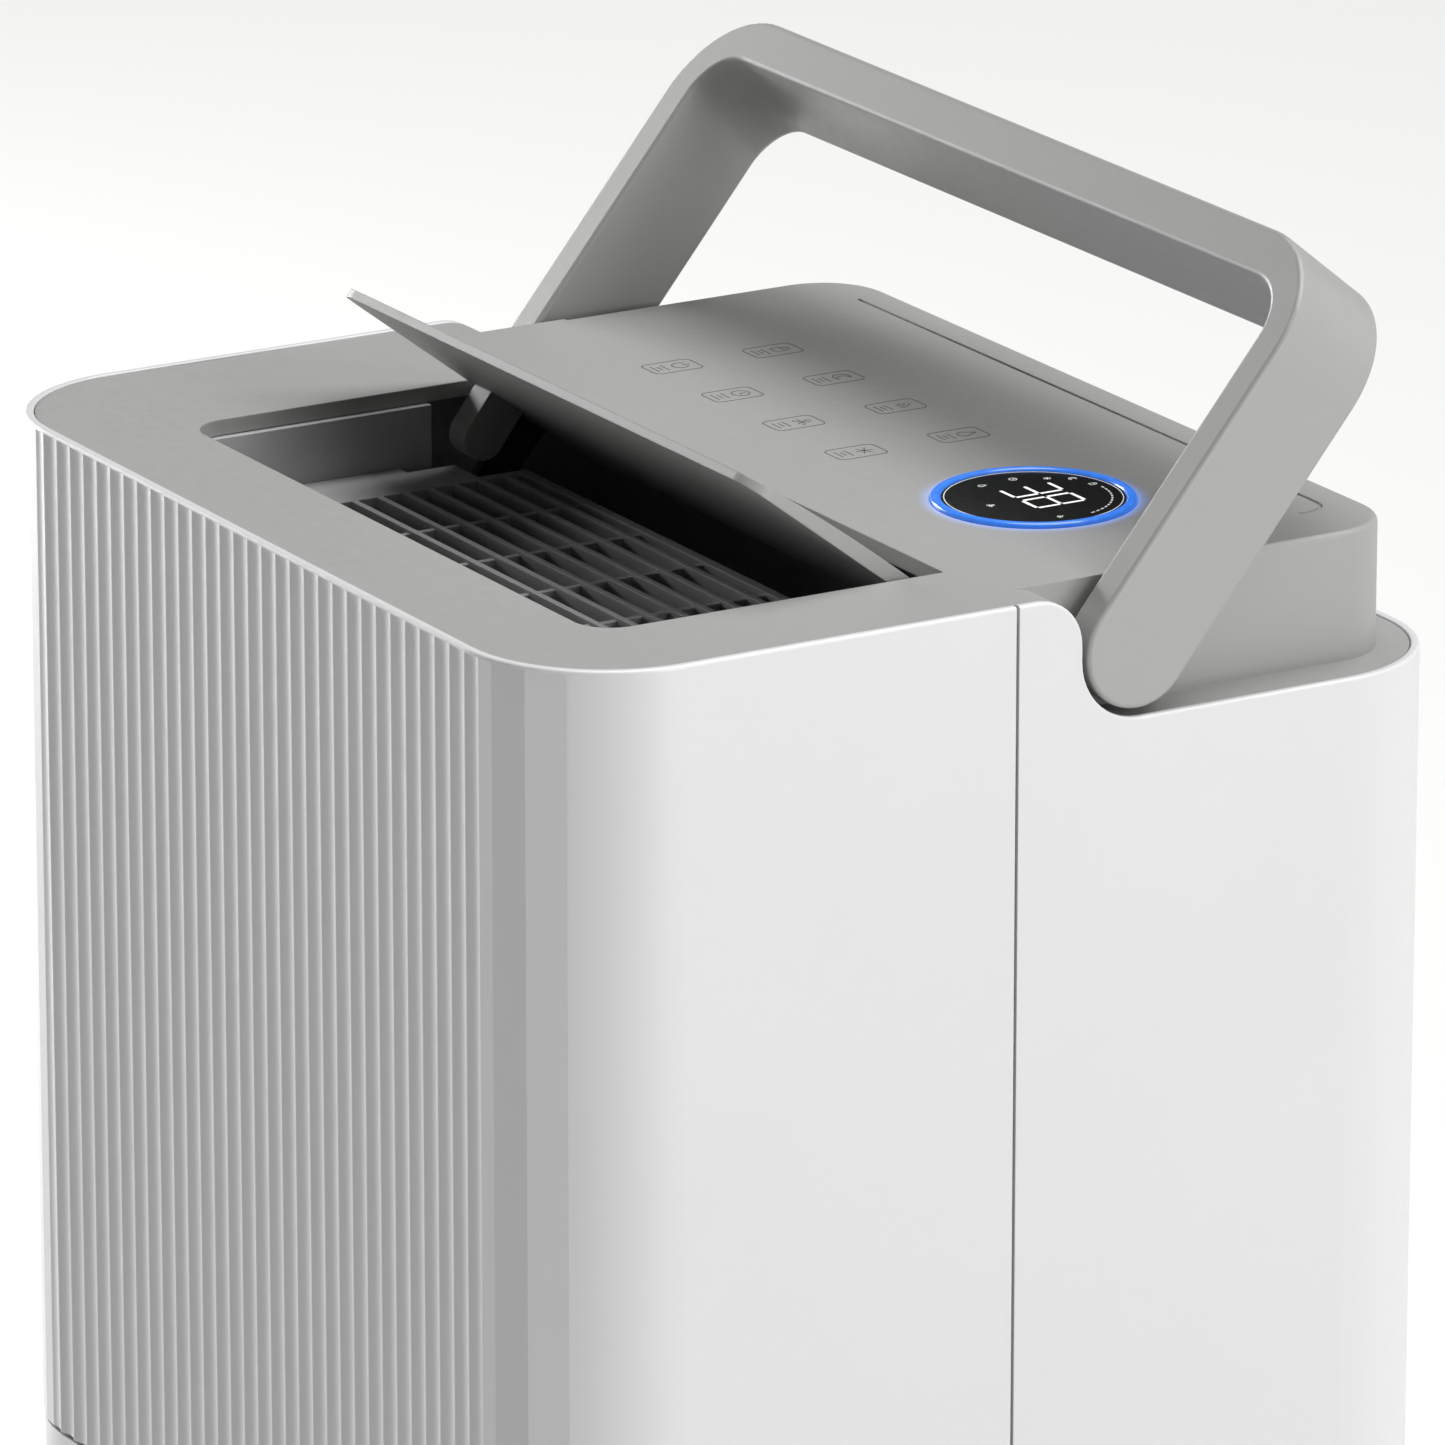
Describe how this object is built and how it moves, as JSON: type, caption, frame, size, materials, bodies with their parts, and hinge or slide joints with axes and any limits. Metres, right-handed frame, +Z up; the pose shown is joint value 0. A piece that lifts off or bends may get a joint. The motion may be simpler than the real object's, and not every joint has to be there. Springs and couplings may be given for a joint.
{
  "type": "dehumidifier",
  "caption": "White and grey compressor dehumidifier with a fluted front, tilting louvre, folding handle, round display and a pull-out water tank.",
  "frame": {"origin": "on the floor under the middle of the body", "axes": "+Z up, front towards -Y, +X to the right seen from the front"},
  "size_m": [0.32, 0.288, 0.5806],
  "materials": {
    "white_shell": "satin moulded white",
    "grey_deck": "fine matt grey moulding",
    "dark_plastic": "matt dark grey moulding",
    "black_plastic": "matt black",
    "ring_light": "lit blue diffuser",
    "display_black": "polished black",
    "rubber": "matt",
    "fin_aluminium": "bright",
    "copper": "drawn copper tube",
    "steel": "zinc plated",
    "motor_black": "semi-gloss black",
    "circuit_board": "solder mask",
    "smoked_tank": "translucent smoky grey",
    "clear_window": "clear moulding",
    "filter_net": "fine nylon net"
  },
  "bodies": {
    "housing": {"front_cover": "white_shell", "rear_cover": "white_shell", "rear_screws": "steel", "top_deck": "grey_deck", "base_tray": "white_shell", "rubber_feet": "rubber", "inner_frame": "dark_plastic", "bay_wall": "dark_plastic", "handle_pins": "steel", "handle_bushes": "black_plastic", "flap_motor": "steel", "outlet_duct": "dark_plastic", "outlet_grille": "dark_plastic", "display_ring": "ring_light", "display_window": "display_black", "display_board": "circuit_board", "touch_board": "circuit_board", "touch_springs": "steel", "fan_housing_front": "black_plastic", "fan_housing_rear": "black_plastic", "fan_motor": "motor_black", "evaporator_fins": "fin_aluminium", "evaporator_coil": "copper", "condenser_fins": "fin_aluminium", "condenser_coil": "copper", "compressor": "motor_black", "compressor_mounts": "rubber", "compressor_bolts": "steel", "accumulator": "copper", "discharge_pipe": "copper", "suction_pipe": "copper", "capillary_tube": "copper", "drip_tray": "dark_plastic", "board_box": "black_plastic", "main_board": "circuit_board", "run_capacitor": "fin_aluminium", "humidity_sensor": "black_plastic", "float_switch": "black_plastic", "cord_gland": "rubber", "drain_spigot": "dark_plastic"},
    "handle": {"handle": "grey_deck"},
    "louvre": {"louvre_flap": "grey_deck", "flap_arms": "black_plastic", "flap_shaft": "steel"},
    "fan": {"fan_impeller": "dark_plastic", "fan_shaft": "steel", "fan_nut": "steel"},
    "tank": {"water_tank": "smoked_tank", "tank_lid": "dark_plastic", "tank_front": "white_shell", "level_window": "clear_window", "float_pin": "steel"},
    "float": {"tank_float": "white_shell"},
    "filter": {"rear_grille": "white_shell", "filter_frame": "dark_plastic", "filter_mesh": "filter_net"},
    "cap": {"drain_cap": "rubber"}
  },
  "joints": [
    {"name": "handle_pivot", "type": "hinge", "parent": "housing", "child": "handle", "pos_m": [0, 0.0363, 0.4818], "axis": [1, 0, 0], "range_deg": [-50.7, 39.3]},
    {"name": "louvre_hinge", "type": "hinge", "parent": "housing", "child": "louvre", "pos_m": [0, -0.0325, 0.447], "axis": [-1, 0, 0], "range_deg": [-37.4, 12.6]},
    {"name": "fan_spin", "type": "hinge", "parent": "housing", "child": "fan", "pos_m": [0.021, -0.078, 0.32], "axis": [0, 1, 0], "continuous": true},
    {"name": "tank_slide", "type": "slide", "parent": "housing", "child": "tank", "axis": [0, -1, 0], "range_m": [0, 0.16]},
    {"name": "float_swing", "type": "hinge", "parent": "tank", "child": "float", "pos_m": [0.095, -0.012, 0.15], "axis": [-1, 0, 0], "range_deg": [0, 18]},
    {"name": "filter_slide", "type": "slide", "parent": "housing", "child": "filter", "axis": [0, 1, 0], "range_m": [0, 0.05]},
    {"name": "drain_cap_pull", "type": "slide", "parent": "housing", "child": "cap", "axis": [0, 1, 0], "range_m": [0, 0.03]}
  ]
}
